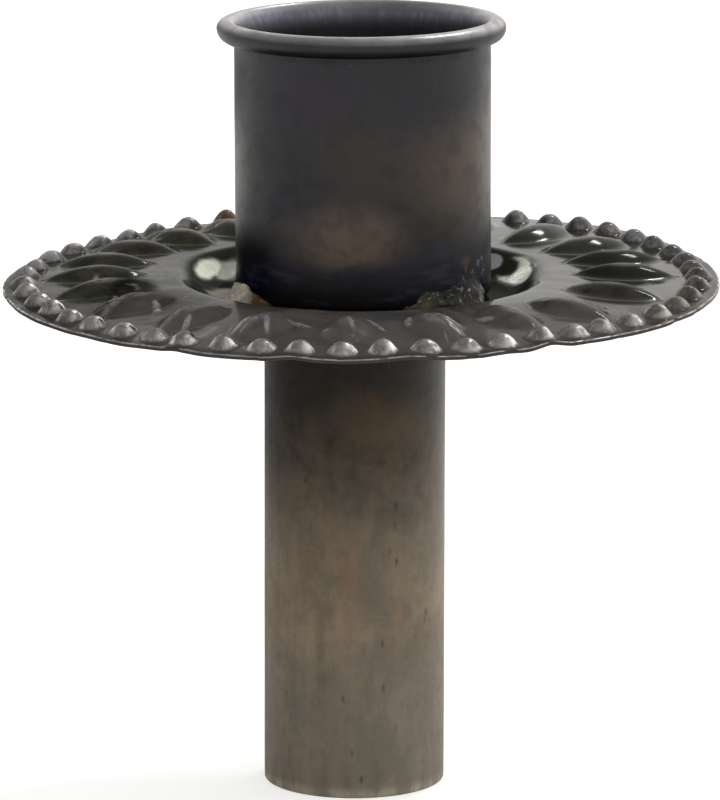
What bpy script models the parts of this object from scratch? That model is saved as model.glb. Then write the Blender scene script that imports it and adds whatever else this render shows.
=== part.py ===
# Bottle candle holder: a spun steel cup with a rolled rim, brazed onto an embossed
# drip plate, with a tube below that drops into the neck of a bottle. Nothing moves.
# Metres, +Z up. The origin is on the plate's axis, level with the tube's foot.
# Angles on the plate run from the front (-Y), positive towards +X.

import math

import bmesh
import bpy

MM = 0.001

# Clearances between pieces that touch
SEAT_GAP = 0.3 * MM
BRAZE_GAP = 0.2 * MM

# Bottle tube
TUBE_OD = 18.0 * MM
TUBE_WALL = 1.0 * MM
TUBE_LENGTH = 48.5 * MM
TUBE_OFFSET_X = -0.7 * MM
TUBE_EDGE_ROUND = 0.25 * MM

# Candle cup
CUP_OD = 25.26 * MM
CUP_WALL = 0.7 * MM
CUP_HEIGHT = 27.25 * MM
CUP_INNER_CORNER = 0.6 * MM
RIM_HOLLOW_WIDTH = 0.85 * MM
RIM_HOLLOW_RISE = 0.25 * MM
RIM_HOLLOW_DROP = 0.5 * MM
RIM_FUNNEL_DEPTH = 2.4 * MM

# Drip plate, from the cup outwards, with a flat seat below for the bottle's lip
SHEET = 0.5 * MM
WELL_MARGIN = 2.4 * MM
SEAT_MARGIN = 0.5 * MM
SEAT_WIDTH = 3.0 * MM
WELL_WALL_WIDTH = 3.3 * MM
WELL_DEPTH = 2.3 * MM
LAND_WIDTH = 3.0 * MM
PETAL_LENGTH = 9.6 * MM
PETAL_WIDTH = 5.4 * MM
PETAL_HEIGHT = 1.35 * MM
PETAL_COUNT = 21
BEAD_GAP = 1.0 * MM
BEAD_DIAMETER = 2.8 * MM
BEAD_HEIGHT = 1.1 * MM
BEAD_COUNT = 50
EDGE_MARGIN = 0.75 * MM
BRIM_DROP = 1.46 * MM
BRIM_CURVE = 2.4

# The brim leans a little and the hand-set punch marks drift round the plate
LEAN_FORWARD = math.radians(1.0)
LEAN_LEFT = math.radians(0.8)
BEAD_DRIFT = math.radians(2.1)
PETAL_START = math.radians(-1.4)
PETAL_DRIFT = math.radians(5.5)
PETAL_DRIFT_RATE = 1.49

# Braze
RING_LEG = 1.2 * MM
RING_LAND = 0.12 * MM
TACK_END_SHARE = 0.3
TACKS = {
    "cup_braze_left": {"start": -82.0, "end": -40.0, "peak": 0.4, "climb": 1.5 * MM, "reach": 1.7 * MM},
    "cup_braze_right": {"start": 16.0, "end": 82.0, "peak": 0.72, "climb": 3.3 * MM, "reach": 1.3 * MM},
    "cup_braze_back": {"start": 158.0, "end": 202.0, "peak": 0.5, "climb": 1.7 * MM, "reach": 1.5 * MM},
}

# Steps round each piece
CUP_STEPS = 54
TUBE_STEPS = 48
STEPS_PER_BEAD = 3
TACK_STEPS = 14
ARC_STEPS = 4
EDGE_STEPS = 2

# Radii and levels that follow from the sizes above
TUBE_RADIUS = TUBE_OD / 2
CUP_RADIUS = CUP_OD / 2
CUP_CORNER = CUP_INNER_CORNER + CUP_WALL
SEAT_INNER = TUBE_RADIUS + BRAZE_GAP + RING_LEG + abs(TUBE_OFFSET_X) + SEAT_MARGIN
WELL_FLOOR_RADIUS = max(CUP_RADIUS + WELL_MARGIN, SEAT_INNER + SEAT_WIDTH)
WELL_EDGE_RADIUS = WELL_FLOOR_RADIUS + WELL_WALL_WIDTH
PETAL_INNER = WELL_EDGE_RADIUS + LAND_WIDTH
PETAL_MIDDLE = PETAL_INNER + PETAL_LENGTH / 2
BEAD_RING = PETAL_INNER + PETAL_LENGTH + BEAD_GAP + BEAD_DIAMETER / 2
PLATE_RADIUS = BEAD_RING + BEAD_DIAMETER / 2 + EDGE_MARGIN
PLATE_UNDERSIDE = TUBE_LENGTH + SEAT_GAP
WELL_FLOOR = PLATE_UNDERSIDE + SHEET
CUP_BOTTOM = WELL_FLOOR + SEAT_GAP
CUP_TOP = CUP_BOTTOM + CUP_HEIGHT


def clear_scene():
    for old in list(bpy.data.objects):
        bpy.data.objects.remove(old, do_unlink=True)


def metal(name, colour, roughness, metallic=1.0):
    material = bpy.data.materials.new(name)
    material.use_nodes = True
    shader = material.node_tree.nodes["Principled BSDF"]
    shader.inputs["Base Color"].default_value = (*colour, 1.0)
    shader.inputs["Roughness"].default_value = roughness
    shader.inputs["Metallic"].default_value = metallic
    return material


def arc(centre, half_width, half_height, start, end, steps=ARC_STEPS):
    # Points along an elliptical arc in the (radius, height) plane, ends included
    points = []
    for step in range(steps + 1):
        angle = math.radians(start + (end - start) * step / steps)
        radius = centre[0] + half_width * math.cos(angle)
        height = centre[1] + half_height * math.sin(angle)
        points.append((radius, height))
    return points


def turn(section, steps, closed=False, start=-math.pi / 2, sweep=math.tau):
    # Spin a section of (radius, height) points about Z, capping a part turn's ends
    shape = bmesh.new()
    points = [shape.verts.new((r * math.cos(start), r * math.sin(start), z)) for r, z in section]
    links = list(zip(points, points[1:]))
    if closed:
        links.append((points[-1], points[0]))
    edges = [shape.edges.new(link) for link in links]
    whole = sweep == math.tau
    bmesh.ops.spin(
        shape, geom=points + edges, cent=(0, 0, 0), axis=(0, 0, 1), angle=sweep, steps=steps, use_merge=whole
    )
    bmesh.ops.remove_doubles(shape, verts=shape.verts, dist=0.0001 * MM)
    if not whole:
        bmesh.ops.holes_fill(shape, edges=[edge for edge in shape.edges if edge.is_boundary])
    bmesh.ops.recalc_face_normals(shape, faces=shape.faces)
    return shape


def add_object(name, shape, material, parent, location=(0, 0, 0)):
    mesh = bpy.data.meshes.new(name)
    shape.to_mesh(mesh)
    shape.free()
    mesh.shade_smooth()
    mesh.set_sharp_from_angle(angle=math.radians(40))
    mesh.materials.append(material)
    piece = bpy.data.objects.new(name, mesh)
    piece.parent = parent
    piece.location = location
    bpy.context.collection.objects.link(piece)
    return piece


def tube_section():
    # A plain tube: rounded edges at the foot, cut square at the top
    inner = TUBE_RADIUS - TUBE_WALL
    edge = min(TUBE_EDGE_ROUND, TUBE_WALL / 3)
    section = [(TUBE_RADIUS, TUBE_LENGTH)]
    section += arc((TUBE_RADIUS - edge, edge), edge, edge, 0, -90, EDGE_STEPS)
    section += arc((inner + edge, edge), edge, edge, -90, -180, EDGE_STEPS)
    section.append((inner, TUBE_LENGTH))
    return section


def cup_section():
    # One sheet from the floor's underside, up the wall, round the open curl of the rim and down the bore
    hollow = RIM_HOLLOW_WIDTH / 2
    crest = CUP_RADIUS + hollow
    widest = CUP_TOP - CUP_WALL - RIM_HOLLOW_RISE
    curl = (crest, widest)
    bore = CUP_RADIUS - CUP_WALL
    funnel = CUP_TOP - RIM_FUNNEL_DEPTH
    corner = (CUP_RADIUS - CUP_CORNER, CUP_BOTTOM + CUP_CORNER)
    section = [(0, CUP_BOTTOM)]
    section += arc(corner, CUP_CORNER, CUP_CORNER, -90, 0)
    section += arc(curl, hollow, RIM_HOLLOW_RISE, 180, 0)
    section += arc(curl, hollow, RIM_HOLLOW_DROP, 0, -90)[1:]
    section += arc(curl, hollow + CUP_WALL, RIM_HOLLOW_DROP + CUP_WALL, -90, 0)
    section += arc(curl, hollow + CUP_WALL, RIM_HOLLOW_RISE + CUP_WALL, 0, 90)[1:]
    section += arc((crest, funnel), crest - bore, RIM_FUNNEL_DEPTH, 90, 180)[1:]
    section += arc(corner, CUP_INNER_CORNER, CUP_INNER_CORNER, 0, -90)
    section.append((0, CUP_BOTTOM + CUP_WALL))
    return section


def ease(value):
    limited = min(max(value, 0.0), 1.0)
    return limited * limited * (3 - 2 * limited)


def brim_rise(radius):
    # Height of the plain pressed sheet above the well floor
    rise = WELL_DEPTH * ease((radius - WELL_FLOOR_RADIUS) / WELL_WALL_WIDTH)
    outwards = max(0.0, (radius - PETAL_INNER) / (PLATE_RADIUS - PETAL_INNER))
    return rise - BRIM_DROP * outwards**BRIM_CURVE


def petal_angles():
    angles = []
    for index in range(PETAL_COUNT):
        angle = (index - PETAL_COUNT // 2) * math.tau / PETAL_COUNT
        drift = PETAL_DRIFT * math.sin(PETAL_DRIFT_RATE * angle) if angle < 0 else 0.0
        angles.append(PETAL_START + angle + drift)
    return angles


def petal_rise(radius, angle, centres):
    # Almond domes: pointed at both ends, with the apex half way along
    along = (radius - PETAL_MIDDLE) / (PETAL_LENGTH / 2)
    if abs(along) >= 1:
        return 0.0
    taper = 1 - along * along
    nearest = min(abs(math.remainder(angle - centre, math.tau)) for centre in centres)
    across = nearest * radius / (taper * PETAL_WIDTH / 2)
    return PETAL_HEIGHT * taper * max(0.0, 1 - across * across)


def bead_rise(radius, turn_angle):
    pitch = math.tau / BEAD_COUNT
    nearest = abs(math.remainder(turn_angle - pitch / 2, pitch))
    away = math.hypot(radius - BEAD_RING, nearest * radius) / (BEAD_DIAMETER / 2)
    return BEAD_HEIGHT * math.sqrt(max(0.0, 1 - away * away))


def plate_section():
    # Top of the sheet from the axis to the edge, then the underside back to the axis
    bead = BEAD_DIAMETER / 2
    radii = [0, SEAT_INNER, WELL_FLOOR_RADIUS]
    radii += [WELL_FLOOR_RADIUS + WELL_WALL_WIDTH * share for share in (0.35, 0.7, 1.0)]
    radii += [PETAL_INNER + PETAL_LENGTH * share for share in (0.0, 0.25, 0.5, 0.75, 1.0)]
    radii += [BEAD_RING + bead * share for share in (-1.0, -0.6, 0.0, 0.6, 1.0)]
    radii.append(PLATE_RADIUS)
    top = [(radius, WELL_FLOOR) for radius in radii]
    bottom = [(radius, PLATE_UNDERSIDE) for radius in reversed(radii)]
    return top + bottom


def split_along_ridge(face):
    # Cut a quad along its higher diagonal, so that bumps stay round
    a, b, c, d = face.verts
    ends = (a, c) if a.co.z + c.co.z > b.co.z + d.co.z else (b, d)
    bmesh.utils.face_split(face, *ends)


def make_plate():
    # The flat sheet is spun first, then every vertex is pressed to its height
    shape = turn(plate_section(), BEAD_COUNT * STEPS_PER_BEAD)
    centres = petal_angles()
    pitch = math.tau / BEAD_COUNT
    for vert in shape.verts:
        radius = math.hypot(vert.co.x, vert.co.y)
        turned = math.atan2(vert.co.x, -vert.co.y) + pitch / 2
        angle = turned + BEAD_DRIFT * (math.cos(turned) - 1)
        rise = brim_rise(radius) + petal_rise(radius, angle, centres) + bead_rise(radius, turned)
        vert.co.x = radius * math.sin(angle)
        vert.co.y = -radius * math.cos(angle)
        lean = vert.co.x * math.tan(LEAN_LEFT) + vert.co.y * math.tan(LEAN_FORWARD)
        spread = ease((radius - WELL_EDGE_RADIUS) / (PLATE_RADIUS - WELL_EDGE_RADIUS))
        vert.co.z += rise + lean * spread
    for face in list(shape.faces):
        if len(face.verts) == 4:
            split_along_ridge(face)
    return shape


def cup_skin(height):
    # Radius of the cup's outside, one braze gap away, at a height above the well floor
    centre = CUP_BOTTOM + CUP_CORNER - WELL_FLOOR
    reach = CUP_CORNER + BRAZE_GAP
    below = min(max(0.0, centre - height), reach)
    return CUP_RADIUS - CUP_CORNER + math.sqrt(reach * reach - below * below)


def make_tack(start, end, peak, climb, reach):
    # A lump in the corner between cup and well floor, thickest at its peak along the run
    foot = BRAZE_GAP
    heights = [foot + climb * step / ARC_STEPS for step in range(ARC_STEPS + 1)]
    toe = min(CUP_RADIUS + reach, WELL_FLOOR_RADIUS - BRAZE_GAP)
    inside = [(cup_skin(height), height) for height in heights]
    top = inside[-1][0] + reach / 4
    outside = [(top + (toe - top) * (1 - (h - foot) / climb), h) for h in reversed(heights)]
    run = math.radians(end - start)
    front = -math.pi / 2
    shape = turn(inside + outside, TACK_STEPS, closed=True, start=front + math.radians(start), sweep=run)
    for vert in shape.verts:
        radius = math.hypot(vert.co.x, vert.co.y)
        angle = math.atan2(vert.co.y, vert.co.x)
        travelled = math.remainder(angle - front - math.radians(start), math.tau) % math.tau
        share = min(1.0, travelled / run)
        swell = share / peak if share < peak else (1 - share) / (1 - peak)
        size = TACK_END_SHARE + (1 - TACK_END_SHARE) * ease(swell)
        height = foot + (vert.co.z - foot) * size
        thickness = (radius - cup_skin(vert.co.z)) * size
        placed = cup_skin(height) + thickness
        vert.co = (placed * math.cos(angle), placed * math.sin(angle), WELL_FLOOR + height)
    return shape


def ring_section():
    # Hollow fillet between the tube's outside and the plate's underside
    inner = TUBE_RADIUS + BRAZE_GAP
    top = PLATE_UNDERSIDE - BRAZE_GAP
    hollow = RING_LEG - RING_LAND
    fillet = arc((inner + RING_LEG, top - RING_LEG), hollow, hollow, 180, 90, EDGE_STEPS)
    return [(inner, top), (inner, top - RING_LEG)] + fillet + [(inner + RING_LEG, top)]


def build():
    clear_scene()
    holder = bpy.data.objects.new("holder", None)
    bpy.context.collection.objects.link(holder)
    cup_metal = metal("blackened_cup", (0.05, 0.046, 0.047), 0.38)
    plate_metal = metal("blackened_plate", (0.06, 0.055, 0.055), 0.32)
    tube_metal = metal("browned_tube", (0.11, 0.092, 0.078), 0.45)
    braze_metal = metal("braze", (0.22, 0.15, 0.08), 0.6)
    add_object("candle_cup", turn(cup_section(), CUP_STEPS), cup_metal, holder)
    add_object("drip_plate", make_plate(), plate_metal, holder)
    tube_place = (TUBE_OFFSET_X, 0, 0)
    add_object("bottle_tube", turn(tube_section(), TUBE_STEPS, closed=True), tube_metal, holder, tube_place)
    ring = turn(ring_section(), TUBE_STEPS, closed=True)
    add_object("tube_braze_ring", ring, braze_metal, holder, tube_place)
    for name, sizes in TACKS.items():
        add_object(name, make_tack(**sizes), braze_metal, holder)


build()
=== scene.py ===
import bmesh
import bpy
import math
import random
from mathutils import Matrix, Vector, noise


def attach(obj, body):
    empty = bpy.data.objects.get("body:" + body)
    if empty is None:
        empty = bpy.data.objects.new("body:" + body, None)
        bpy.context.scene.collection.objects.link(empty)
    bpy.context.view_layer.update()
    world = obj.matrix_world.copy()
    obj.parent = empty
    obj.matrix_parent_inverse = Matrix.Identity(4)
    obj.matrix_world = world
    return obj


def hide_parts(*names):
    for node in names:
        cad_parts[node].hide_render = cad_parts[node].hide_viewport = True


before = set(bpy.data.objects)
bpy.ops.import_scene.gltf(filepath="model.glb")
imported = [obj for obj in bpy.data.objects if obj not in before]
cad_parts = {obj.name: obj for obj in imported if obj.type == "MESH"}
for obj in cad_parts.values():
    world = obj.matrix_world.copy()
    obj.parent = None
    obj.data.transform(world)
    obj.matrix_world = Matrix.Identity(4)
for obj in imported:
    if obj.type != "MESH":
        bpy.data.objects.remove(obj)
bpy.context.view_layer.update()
mm = 0.001
weldDistance = 0.0005 * mm
sharpAngle = math.radians(50)
frontAngle = -math.pi / 2  # plate angles run from the front, positive to the right

print("frame loaded:", sorted(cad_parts))


# small helpers for shapes

def ease(value):
    limited = min(max(value, 0.0), 1.0)
    return limited * limited * (3 - 2 * limited)


def rampUp(value, start, end):
    return ease((value - start) / (end - start))


def turn(angle, start):
    return math.remainder(angle - start, math.tau)


def scaled(vector):
    return tuple(part * mm for part in vector)


def arcPoints(centre, halfWidth, halfHeight, start, end, steps):
    points = []
    for step in range(steps + 1):
        angle = math.radians(start + (end - start) * step / steps)
        points.append((centre[0] + halfWidth * math.cos(angle), centre[1] + halfHeight * math.sin(angle)))
    return points


def spread(start, end, count):
    return [start + (end - start) * step / count for step in range(1, count + 1)]


def spinSection(section, steps, closed=False, start=frontAngle, sweep=math.tau):
    shape = bmesh.new()
    corners = []
    for radius, height in section:
        across = radius * mm
        corners.append(shape.verts.new((across * math.cos(start), across * math.sin(start), height * mm)))
    pairs = list(zip(corners, corners[1:]))
    if closed:
        pairs.append((corners[-1], corners[0]))
    edges = [shape.edges.new(pair) for pair in pairs]
    whole = sweep == math.tau
    bmesh.ops.spin(
        shape, geom=corners + edges, cent=(0, 0, 0), axis=(0, 0, 1), angle=sweep, steps=steps, use_merge=whole
    )
    bmesh.ops.remove_doubles(shape, verts=shape.verts, dist=weldDistance)
    if not whole:
        bmesh.ops.holes_fill(shape, edges=[edge for edge in shape.edges if edge.is_boundary])
    bmesh.ops.recalc_face_normals(shape, faces=shape.faces)
    return shape


def wobble(place, size, seed):
    return noise.noise(Vector(place) / (size * mm) + Vector((seed, seed * 1.7, -seed)))


def unevenness(place, height, coarse, small, share):
    return height * (wobble(place, *coarse) + share * wobble(place, *small))


def addPiece(name, shape, material, node):
    mesh = bpy.data.meshes.new(name)
    shape.to_mesh(mesh)
    shape.free()
    mesh.shade_smooth()
    mesh.set_sharp_from_angle(angle=sharpAngle)
    mesh.materials.append(material)
    piece = bpy.data.objects.new(name, mesh)
    bpy.context.scene.collection.objects.link(piece)
    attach(piece, "root")
    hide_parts(node)
    print(name, "made,", len(mesh.polygons), "faces")


# small helpers for shader nodes

def isSocket(value):
    return isinstance(value, bpy.types.NodeSocket)


def fill(node, inputs):
    for key, value in inputs.items():
        if isSocket(value):
            node.id_data.links.new(value, node.inputs[key])
        else:
            node.inputs[key].default_value = value


def put(kind, inputs, **settings):
    tree = next(filter(isSocket, inputs.values())).id_data  # the tree of the sockets that feed the node
    node = tree.nodes.new(kind)
    for key, value in settings.items():
        setattr(node, key, value)
    fill(node, inputs)
    return node


def opaque(tint):
    return tint if isSocket(tint) else (*tint, 1.0)


def mixColour(factor, first, second):
    inputs = {0: factor, 6: opaque(first), 7: opaque(second)}
    return put("ShaderNodeMix", inputs, data_type="RGBA").outputs[2]


def mathNode(operation, first, second):
    return put("ShaderNodeMath", {0: first, 1: second}, operation=operation).outputs[0]


def times(first, second):
    return mathNode("MULTIPLY", first, second)


def larger(first, second):
    return mathNode("MAXIMUM", first, second)


def paint(shade, mask, tint, strength=None):
    factor = mask if strength is None else times(mask, strength)
    return mixColour(factor, shade, tint)


def mapRange(value, low, high, toLow=0.0, toHigh=1.0):
    inputs = {"Value": value, "From Min": low, "From Max": high, "To Min": toLow, "To Max": toHigh}
    return put("ShaderNodeMapRange", inputs, interpolation_type="SMOOTHSTEP").outputs["Result"]


def ramp(length, start, end, toLow=0.0, toHigh=1.0):
    return mapRange(length, start * mm, end * mm, toLow, toHigh)


def between(mask, atNone, atFull):
    return mapRange(mask, 0.0, 1.0, atNone, atFull)


def dimmed(value, mask, low):
    return times(value, between(mask, 1.0, low))


def wavered(length, mask, reach):
    shift = times(mathNode("SUBTRACT", mask, 0.5), reach * mm)
    return mathNode("ADD", length, shift)


def readMask(shader, name):
    node = shader.id_data.nodes.new("ShaderNodeAttribute")
    node.attribute_name = name
    return node.outputs["Fac"]


def axisDistance(apart):
    flat = put("ShaderNodeCombineXYZ", {"X": apart["X"], "Y": apart["Y"]}).outputs[0]
    return put("ShaderNodeVectorMath", {0: flat}, operation="LENGTH").outputs["Value"]


def startMaterial(name):
    material = bpy.data.materials.new(name)
    material.use_nodes = True
    shader = material.node_tree.nodes["Principled BSDF"]
    place = material.node_tree.nodes.new("ShaderNodeTexCoord").outputs["Object"]
    apart = put("ShaderNodeSeparateXYZ", {0: place}).outputs
    return material, shader, place, apart


def setFinish(shader, inputs, coatRoughness):
    fill(shader, inputs)
    shader.inputs["Specular IOR Level"].default_value = 0.0
    shader.inputs["Coat Roughness"].default_value = coatRoughness


def setBump(shader, height, distance, strength):
    bump = put("ShaderNodeBump", {"Height": height, "Distance": distance * mm, "Strength": strength})
    fill(shader, {"Normal": bump.outputs["Normal"]})


# effects that several finishes share

def newGroup(name, vectors, numbers):
    tree = bpy.data.node_groups.new(name, "ShaderNodeTree")
    for label in vectors:
        tree.interface.new_socket(name=label, in_out="INPUT", socket_type="NodeSocketVector")
    for label in numbers:
        tree.interface.new_socket(name=label, in_out="INPUT", socket_type="NodeSocketFloat")
    tree.interface.new_socket(name="Mask", in_out="OUTPUT", socket_type="NodeSocketFloat")
    return tree, tree.nodes.new("NodeGroupInput").outputs, tree.nodes.new("NodeGroupOutput").inputs


def useGroup(group, **inputs):
    return put("ShaderNodeGroup", inputs, node_tree=group).outputs["Mask"]


def makeClouds():
    tree, given, result = newGroup("clouds", ["Place"], ["Scale", "Low", "High"])
    grain = put("ShaderNodeTexNoise", {
        "Vector": given["Place"], "Scale": given["Scale"], "Detail": 5.0, "Roughness": 0.6, "Distortion": 0.4,
    })
    mask = mapRange(grain.outputs["Fac"], given["Low"], given["High"])
    tree.links.new(mask, result["Mask"])
    return tree


def makeStain():
    tree, given, result = newGroup("stain", ["Place", "Centre", "Reach"], ["Ragged", "Scale", "Edge"])
    offset = put("ShaderNodeVectorMath", {0: given["Place"], 1: given["Centre"]}, operation="SUBTRACT")
    ratio = put("ShaderNodeVectorMath", {0: offset.outputs[0], 1: given["Reach"]}, operation="DIVIDE")
    away = put("ShaderNodeVectorMath", {0: ratio.outputs[0]}, operation="LENGTH").outputs["Value"]
    grain = put("ShaderNodeTexNoise", {"Vector": given["Place"], "Scale": given["Scale"], "Detail": 4.0})
    centred = mathNode("SUBTRACT", grain.outputs["Fac"], 0.5)
    total = mathNode("ADD", away, times(centred, given["Ragged"]))
    mask = mapRange(total, given["Edge"], 1.0, 1.0, 0.0)
    tree.links.new(mask, result["Mask"])
    return tree


def makeDrawnLines():
    tree, given, result = newGroup("drawnLines", ["Place"], ["Scale", "Stretch", "Low", "High"])
    apart = put("ShaderNodeSeparateXYZ", {0: given["Place"]}).outputs
    squeezed = times(apart["Z"], given["Stretch"])
    place = put("ShaderNodeCombineXYZ", {"X": apart["X"], "Y": apart["Y"], "Z": squeezed})
    grain = put("ShaderNodeTexNoise", {"Vector": place.outputs[0], "Scale": given["Scale"], "Detail": 3.0})
    mask = mapRange(grain.outputs["Fac"], given["Low"], given["High"])
    tree.links.new(mask, result["Mask"])
    return tree


def makePits():
    tree, given, result = newGroup("pits", ["Place"], ["Scale", "Size", "Share"])
    cells = put("ShaderNodeTexVoronoi", {"Vector": given["Place"], "Scale": given["Scale"]})
    pit = mapRange(cells.outputs["Distance"], 0.0, given["Size"], 1.0, 0.0)
    chosen = put("ShaderNodeSeparateColor", {0: cells.outputs["Color"]})
    kept = mathNode("LESS_THAN", chosen.outputs[0], given["Share"])
    tree.links.new(times(pit, kept), result["Mask"])
    return tree


clouds = makeClouds()
stain = makeStain()
drawnLines = makeDrawnLines()
pits = makePits()
print("shared effects ready")


def cloudMasks(place, grains):
    return [useGroup(clouds, Place=place, Scale=scale, Low=low, High=high) for scale, low, high in grains]


def lineMasks(place, grains):
    masks = []
    for scale, stretch, low, high in grains:
        masks.append(useGroup(drawnLines, Place=place, Scale=scale, Stretch=stretch, Low=low, High=high))
    return masks


def spot(place, where, ragged, scale, edge=0.45):
    centre, reach = where
    size = {"Centre": scaled(centre), "Reach": scaled(reach)}
    return useGroup(stain, Place=place, Ragged=ragged, Scale=scale, Edge=edge, **size)


# candle cup

cup = {
    "radius": 12.63,
    "wall": 0.7,
    "bottom": 49.4,
    "top": 76.9,
    "corner": 1.0,
    "sideEnd": 1.8,  # below the rim's hollow
    "boreEnd": 2.0,  # above the bottom
    "rimHollow": 0.46,
    "rimRise": 0.16,
    "rimDrop": 0.6,
    "funnel": 2.6,
    "roll": 0.35,
    "shift": 0.17,  # the body stands a little right of the rim
    "shiftFoot": 1.25,  # shares of the shift at the foot and under the rim
    "shiftTop": 0.8,
    "rimFrom": (0.88, 0.98),  # share of the height where the shift ends
    "dents": 0.05,
    "dentGrain": (9, 3.1),  # size of the noise and its seed
    "steps": 180,
    "steel": (0.0075, 0.0068, 0.0078),
    "blue": (0.004, 0.005, 0.012),
    "black": (0.0015, 0.0015, 0.0015),
    "worn": (0.035, 0.033, 0.032),
    "ash": (0.34, 0.33, 0.30),
    "smear": (0.026, 0.031, 0.052),
    "polished": (0.40, 0.385, 0.40),
    "inside": (0.19, 0.185, 0.24),
    "blueBand": (55.0, 53.2),  # heights between which a finish sets in, some with strengths
    "blackBase": (53.0, 51.0),
    "smears": (49.8, 51.0),
    "specks": (60.0, 74.0, 0.08, 0.35),
    "dust": (70.0, 74.0, 0.15, 0.6),
    # painted shadow under the rolled rim, with some grime: heights and radii of a black band on the outer
    # wall
    "rimShadeAndGrimeFoot": (73.9, 74.4),
    "rimShadeAndGrimeTop": (75.2, 74.7),
    "funnelSheen": (73.8, 76.5, 0.1, 1.0),
    "crestSheen": (75.95, 76.75),
    "rimShadeAndGrimeSkin": (12.3, 12.5),  # radii
    "clouds": [  # scale, low and high of each noise
        (110, 0.35, 0.65), (420, 0.42, 0.68), (1500, 0.56, 0.7), (1700, 0.55, 0.66),
    ],
    "lines": [  # scale, stretch, low and high
        (900, 0.08, 0.4, 0.7), (260, 4.0, 0.5, 0.7), (1700, 0.03, 0.35, 0.7),
    ],
    "waver": 2.0,
    "crusted": ((11.2, -5.8, 52.6), (2.4, 4.5, 2.6)),  # centre and reach of a spot
    "lowLeft": ((-11.0, -6.5, 53.0), (6.0, 9.0, 6.5)),
    "highLeft": ((-12.5, -1.0, 71.0), (5.0, 9.0, 7.0)),
    "tints": [  # heat tints, and painted sheen on the cup's left and right sides: colour, strength, centre and reach
        ((0.018, 0.011, 0.026), 0.9, (-5.5, -11.2, 70.5), (8.5, 8.0, 6.5)),
        ((0.028, 0.020, 0.014), 0.8, (1.0, -12.6, 64.0), (11.0, 8.0, 9.0)),
        ((0.132, 0.092, 0.064), 1.0, (-1.3, -12.6, 56.5), (9.0, 9.0, 5.0)),
        ((0.072, 0.049, 0.030), 1.0, (9.5, -8.0, 63.0), (8.0, 10.0, 8.5)),
        # painted sheen along the cup's right and left sides
        ((0.115, 0.102, 0.076), 1.0, (12.6, -1.5, 65.5), (3.2, 8.0, 9.5)),
        ((0.115, 0.100, 0.076), 1.0, (-12.5, -1.5, 62.8), (3.0, 8.0, 6.5)),
        ((0.030, 0.026, 0.028), 0.9, (11.0, 6.6, 69.5), (4.0, 4.6, 5.5)),
        ((0.048, 0.036, 0.026), 0.9, (11.5, 5.4, 59.5), (4.0, 4.6, 4.0)),
        ((0.036, 0.030, 0.027), 0.9, (-11.0, 6.4, 65.5), (4.0, 4.6, 4.5)),
        ((0.040, 0.028, 0.020), 0.9, (0.0, 12.6, 61.0), (11.0, 8.0, 7.0)),
        ((0.003, 0.005, 0.012), 1.0, (-8.0, -9.7, 60.8), (4.6, 4.5, 3.0)),
        ((0.002, 0.003, 0.005), 1.0, (-10.6, -7.0, 54.5), (3.6, 5.0, 4.5)),
        ((0.015, 0.019, 0.040), 0.9, (6.3, -10.9, 54.4), (7.5, 5.0, 2.6)),
        ((0.110, 0.048, 0.014), 0.7, (10.2, -7.7, 54.0), (0.9, 1.5, 0.8)),
    ],
}


def cupMaterial():
    material, shader, place, apart = startMaterial("blackenedCup")
    height = apart["Z"]
    low, fine, tiny, flecks = cloudMasks(place, cup["clouds"])
    lines, brushed, hairs = lineMasks(place, cup["lines"])
    shade = mixColour(low, cup["steel"], cup["blue"])
    mottled = between(fine, 1.0, 0.8)
    for tint, strength, *where in cup["tints"]:
        patch = spot(place, where, ragged=0.6, scale=140.0, edge=0.1)
        shade = paint(shade, times(patch, mottled), tint, strength)
    level = wavered(height, low, cup["waver"])
    blueBand = ramp(level, *cup["blueBand"])
    shade = paint(shade, blueBand, cup["blue"])
    base = ramp(level, *cup["blackBase"])
    shade = paint(shade, base, cup["black"])
    smears = times(brushed, times(blueBand, ramp(height, *cup["smears"])))
    shade = paint(shade, smears, cup["smear"], strength=0.8)
    specks = times(fine, ramp(height, *cup["specks"]))
    dust = times(tiny, ramp(height, *cup["dust"]))
    shade = paint(shade, larger(specks, dust), cup["worn"])
    # painted shadow under the rolled rim, with some grime: the outer wall just below the rim turns black
    rimShadeAndGrime = times(ramp(height, *cup["rimShadeAndGrimeFoot"]), ramp(height, *cup["rimShadeAndGrimeTop"]))
    rimShadeAndGrime = times(rimShadeAndGrime, ramp(axisDistance(apart), *cup["rimShadeAndGrimeSkin"]))
    shade = paint(shade, rimShadeAndGrime, cup["black"])
    crusted = spot(place, cup["crusted"], ragged=0.6, scale=300.0, edge=0.3)
    shade = paint(shade, times(crusted, flecks), cup["ash"], strength=0.6)
    funnel = times(readMask(shader, "inner"), ramp(height, *cup["funnelSheen"]))
    funnel = times(funnel, between(hairs, 0.8, 1.0))
    shade = paint(shade, funnel, cup["inside"])
    crest = times(ramp(height, *cup["crestSheen"]), between(fine, 0.9, 0.7))
    shade = paint(shade, crest, cup["polished"])
    bare = larger(funnel, crest)
    lowLeft = spot(place, cup["lowLeft"], ragged=0.4, scale=140.0, edge=0.1)
    highLeft = spot(place, cup["highLeft"], ragged=0.3, scale=140.0, edge=0.1)
    gloss = between(fine, 0.78, 0.64)
    for mask, share in ((lowLeft, 0.14), (base, 0.85), (highLeft, 0.6)):
        gloss = dimmed(gloss, mask, share)
    gloss = times(gloss, mathNode("SUBTRACT", 1.0, bare))
    roughness = between(bare, 0.6, 0.3)
    finish = {"Base Color": shade, "Metallic": bare, "Roughness": roughness, "Coat Weight": gloss}
    setFinish(shader, finish, coatRoughness=0.38)
    setBump(shader, mathNode("ADD", times(lines, 0.4), fine), distance=0.015, strength=0.5)
    return material


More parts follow.
